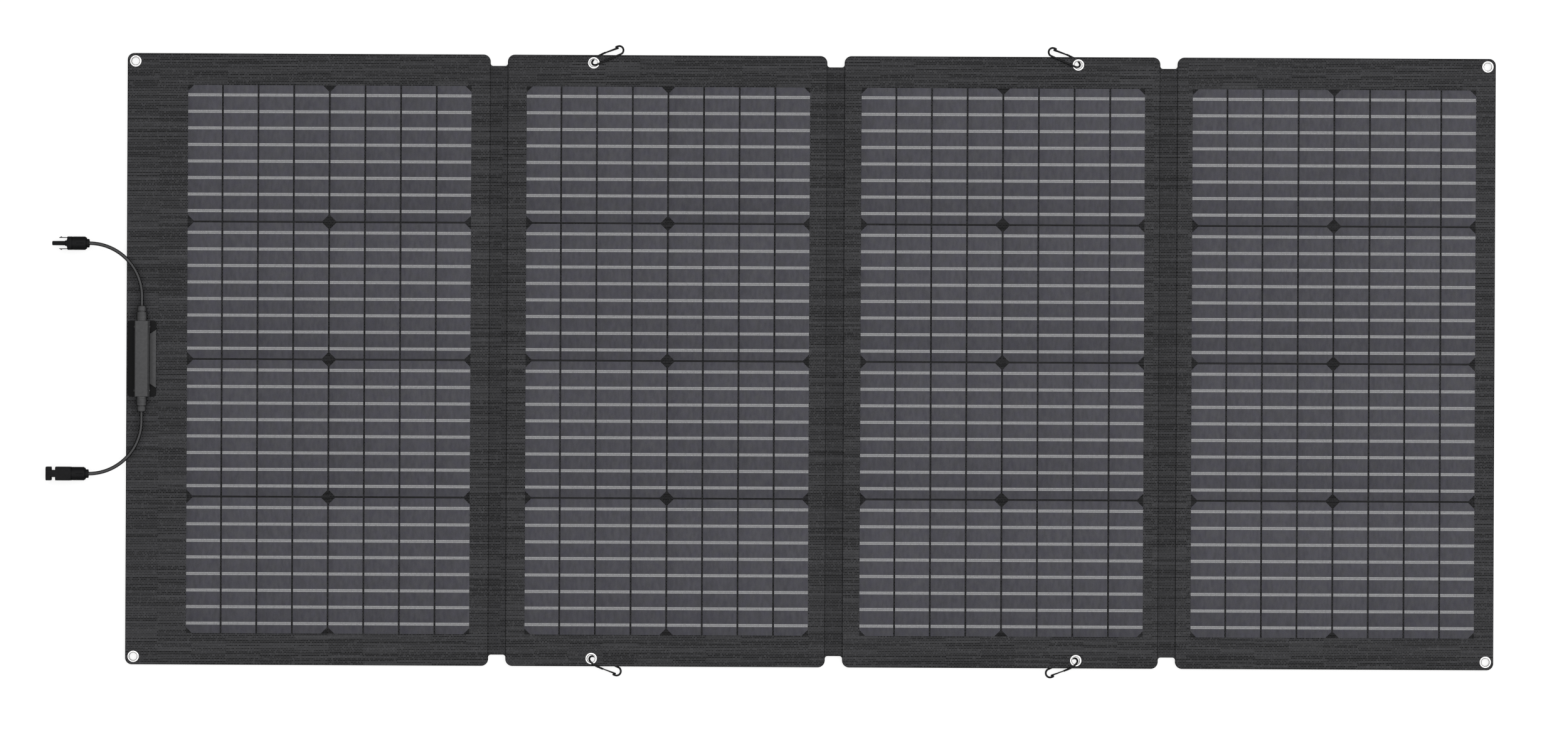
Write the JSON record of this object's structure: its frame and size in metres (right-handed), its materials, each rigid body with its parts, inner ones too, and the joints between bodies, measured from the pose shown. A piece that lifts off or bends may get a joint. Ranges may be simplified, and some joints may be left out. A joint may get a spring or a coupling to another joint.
{
  "type": "folding solar panel",
  "caption": "Flat folding solar panel sheet: hinged rigid panels of dark cell strips, webs between them, junction box, two leads with plug and socket, eyelets and wire clips.",
  "frame": {"origin": "centre of the unfolded sheet, on its flat back face", "axes": "+Z out of the cell side, +X along the row of panels away from the junction box, +Y along the folds"},
  "size_m": [1.9413, 0.847, 0.0203],
  "materials": {
    "film": "printed matt film with a fine dot pattern",
    "cell": "dark grey silicon under matt clear film",
    "ribbon": "tinned ribbon under matt clear film",
    "bus_bar": "tinned copper",
    "board": "glass fibre board",
    "back_film": "black embossed film",
    "eyelet": "bright nickel",
    "web": "flexible film",
    "copper": "bare copper",
    "clip_wire": "black coated spring wire",
    "box_base": "fine grained moulding",
    "box_cover": "smooth moulding",
    "gasket": "silicone",
    "screw": "blackened steel",
    "terminal": "stamped",
    "diode": "epoxy",
    "gland": "moulded nylon",
    "cable": "double insulated cable",
    "connector": "moulded, fine grain",
    "contact": "tin plated copper",
    "seal": "silicone ring"
  },
  "bodies": {
    "panel_1": {"panel_1_front_sheet": "film", "panel_1_cells": "cell", "panel_1_ribbons": "ribbon", "panel_1_bus_bars": "bus_bar", "panel_1_board": "board", "panel_1_back_sheet": "back_film", "panel_1_eyelets": "eyelet", "jbox_base": "box_base", "jbox_cover": "box_cover", "jbox_gasket": "gasket", "jbox_screws": "screw", "terminal_bars": "terminal", "bypass_diodes": "diode", "gland_upper": "gland", "gland_lower": "gland"},
    "panel_2": {"panel_2_front_sheet": "film", "panel_2_cells": "cell", "panel_2_ribbons": "ribbon", "panel_2_bus_bars": "bus_bar", "panel_2_board": "board", "panel_2_back_sheet": "back_film", "panel_2_eyelets": "eyelet", "fold_web_1": "web", "fold_conductor_1": "copper"},
    "panel_3": {"panel_3_front_sheet": "film", "panel_3_cells": "cell", "panel_3_ribbons": "ribbon", "panel_3_bus_bars": "bus_bar", "panel_3_board": "board", "panel_3_back_sheet": "back_film", "panel_3_eyelets": "eyelet", "fold_web_2": "web", "fold_conductor_2": "copper"},
    "panel_4": {"panel_4_front_sheet": "film", "panel_4_cells": "cell", "panel_4_ribbons": "ribbon", "panel_4_bus_bars": "bus_bar", "panel_4_board": "board", "panel_4_back_sheet": "back_film", "panel_4_eyelets": "eyelet", "fold_web_3": "web", "fold_conductor_3": "copper"},
    "lead_upper": {"cable_upper": "cable", "plug_housing": "connector", "plug_nut": "connector", "plug_contact": "contact", "plug_seal": "seal"},
    "lead_lower": {"cable_lower": "cable", "socket_housing": "connector", "socket_nut": "connector", "socket_contact": "contact"},
    "clip_1": {"clip_1_hook": "clip_wire"},
    "gate_1": {"clip_1_gate": "clip_wire"},
    "clip_2": {"clip_2_hook": "clip_wire"},
    "gate_2": {"clip_2_gate": "clip_wire"},
    "clip_3": {"clip_3_hook": "clip_wire"},
    "gate_3": {"clip_3_gate": "clip_wire"},
    "clip_4": {"clip_4_hook": "clip_wire"},
    "gate_4": {"clip_4_gate": "clip_wire"}
  },
  "joints": [
    {"name": "fold_1", "type": "hinge", "parent": "panel_1", "child": "panel_2", "pos_m": [-0.4191, 0, 0.0102], "axis": [0, -1, 0], "range_deg": [0, 179.9], "deforming": ["fold_web_1", "fold_conductor_1"]},
    {"name": "fold_2", "type": "hinge", "parent": "panel_2", "child": "panel_3", "pos_m": [0.0325, 0, 0.0072], "axis": [0, -1, 0], "range_deg": [0, 179.9], "deforming": ["fold_web_2", "fold_conductor_2"]},
    {"name": "fold_3", "type": "hinge", "parent": "panel_3", "child": "panel_4", "pos_m": [0.4791, 0, 0.0042], "axis": [0, -1, 0], "range_deg": [0, 179.9], "deforming": ["fold_web_3", "fold_conductor_3"]},
    {"name": "lead_upper_bend", "type": "hinge", "parent": "panel_1", "child": "lead_upper", "pos_m": [-0.8962, 0.0709, 0.0099], "axis": [0, 0, 1], "range_deg": [-15, 45], "deforming": ["cable_upper"]},
    {"name": "lead_lower_bend", "type": "hinge", "parent": "panel_1", "child": "lead_lower", "pos_m": [-0.8962, -0.0709, 0.0099], "axis": [0, 0, -1], "range_deg": [-15, 45], "deforming": ["cable_lower"]},
    {"name": "clip_1_swivel", "type": "hinge", "parent": "panel_2", "child": "clip_1", "pos_m": [-0.2925, 0.3995, 0.0012], "axis": [0, 0, 1], "range_deg": [0, 80]},
    {"name": "clip_2_swivel", "type": "hinge", "parent": "panel_2", "child": "clip_2", "pos_m": [-0.2925, -0.3995, 0.0012], "axis": [0, 0, -1], "range_deg": [0, 80]},
    {"name": "clip_3_swivel", "type": "hinge", "parent": "panel_3", "child": "clip_3", "pos_m": [0.3575, 0.3995, 0.0012], "axis": [0, 0, -1], "range_deg": [0, 80]},
    {"name": "clip_4_swivel", "type": "hinge", "parent": "panel_3", "child": "clip_4", "pos_m": [0.3575, -0.3995, 0.0012], "axis": [0, 0, 1], "range_deg": [0, 80]},
    {"name": "clip_1_gate", "type": "hinge", "parent": "clip_1", "child": "gate_1", "pos_m": [-0.27862, 0.41258, 0.0012], "axis": [0, 0, -1], "range_deg": [0, 18]},
    {"name": "clip_2_gate", "type": "hinge", "parent": "clip_2", "child": "gate_2", "pos_m": [-0.27862, -0.41258, 0.0012], "axis": [0, 0, 1], "range_deg": [0, 18]},
    {"name": "clip_3_gate", "type": "hinge", "parent": "clip_3", "child": "gate_3", "pos_m": [0.34362, 0.41258, 0.0012], "axis": [0, 0, 1], "range_deg": [0, 18]},
    {"name": "clip_4_gate", "type": "hinge", "parent": "clip_4", "child": "gate_4", "pos_m": [0.34362, -0.41258, 0.0012], "axis": [0, 0, -1], "range_deg": [0, 18]}
  ]
}
